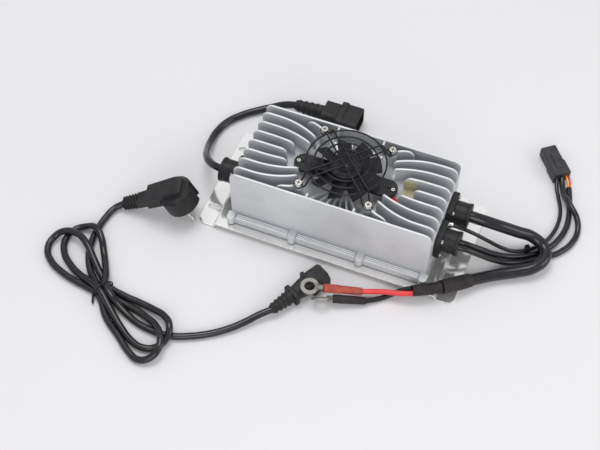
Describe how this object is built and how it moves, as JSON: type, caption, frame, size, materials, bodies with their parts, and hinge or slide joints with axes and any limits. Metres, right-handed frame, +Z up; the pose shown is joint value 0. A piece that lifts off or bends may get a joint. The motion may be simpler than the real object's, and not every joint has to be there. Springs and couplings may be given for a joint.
{
  "type": "battery charger",
  "caption": "Fan-cooled battery charger in a finned cast housing on a slotted mounting plate, with sealed cable glands, output ring terminals, a signal connector and a detachable mains lead.",
  "frame": {"origin": "middle of the mounting plate's footprint, on the surface that it stands on", "axes": "+X along the housing toward the output glands, +Y to the back, +Z up"},
  "size_m": [0.4995, 0.3902, 0.0931],
  "materials": {
    "cast_alloy": "bead-blasted casting",
    "polished_plate": "polished sheet",
    "gasket_rubber": "matte",
    "screw_steel": "nickel plated",
    "fan_plastic": "satin moulding",
    "winding_copper": "enamelled wire",
    "bearing_brass": "plain",
    "ferrite_black": "sintered",
    "guard_black": "satin black coating",
    "wire_red": "smooth insulation",
    "seal_tan": "matte sealant",
    "gland_plastic": "fine moulded texture",
    "cable_black": "satin sheath",
    "sleeve_black": "dull heat-shrink",
    "sleeve_red": "dull heat-shrink",
    "tinned_metal": "tinned",
    "plug_plastic": "moulded PVC",
    "connector_grey": "moulded nylon",
    "board_green": "solder mask",
    "part_black": "moulded",
    "relay_case": "moulded"
  },
  "bodies": {
    "housing": {"finned_housing": "cast_alloy", "base_plate": "polished_plate", "base_gasket": "gasket_rubber", "base_screws": "screw_steel", "fan_bracket": "fan_plastic", "fan_bracket_screws": "screw_steel", "fan_stator": "winding_copper", "fan_bearing": "bearing_brass", "fan_guard": "guard_black", "guard_screws": "screw_steel", "fan_leads": "wire_red", "wire_seal": "seal_tan", "input_gland": "gland_plastic", "output_gland": "gland_plastic", "signal_gland": "gland_plastic", "gland_gaskets": "gasket_rubber", "gland_screws": "screw_steel", "sensor_stub": "screw_steel", "mains_pigtail": "cable_black", "inlet_connector": "plug_plastic", "inlet_pins": "tinned_metal", "output_cable": "cable_black", "output_sleeve": "sleeve_black", "output_end_sleeve": "sleeve_black", "positive_lead": "wire_red", "positive_sleeve": "sleeve_red", "positive_lug": "tinned_metal", "negative_lead": "cable_black", "negative_sleeve": "sleeve_black", "negative_lug": "tinned_metal", "signal_cable_a": "cable_black", "signal_cable_b": "cable_black", "sensor_cable": "cable_black", "cable_tie": "gland_plastic", "signal_connector": "connector_grey", "signal_wires": "wire_red", "lead_plug": "plug_plastic", "lead_pins": "tinned_metal", "lead_cord_plug_side": "cable_black", "lead_hank": "cable_black", "lead_hank_tie": "gland_plastic", "lead_cord_outlet_side": "cable_black", "lead_outlet": "plug_plastic", "main_board": "board_green", "board_screws": "screw_steel", "transformer": "ferrite_black", "bulk_capacitors": "part_black", "filter_choke": "winding_copper", "output_inductor": "winding_copper", "output_capacitors": "part_black", "power_transistors": "part_black", "transistor_pads": "seal_tan", "control_board": "board_green", "relay": "relay_case", "fuse": "tinned_metal"},
    "fan_rotor": {"fan_impeller": "fan_plastic", "fan_magnet": "ferrite_black", "fan_shaft": "screw_steel"}
  },
  "joints": [
    {"name": "fan_spin", "type": "hinge", "parent": "housing", "child": "fan_rotor", "pos_m": [0, 0, 0.077], "axis": [0, 0, 1], "continuous": true}
  ]
}
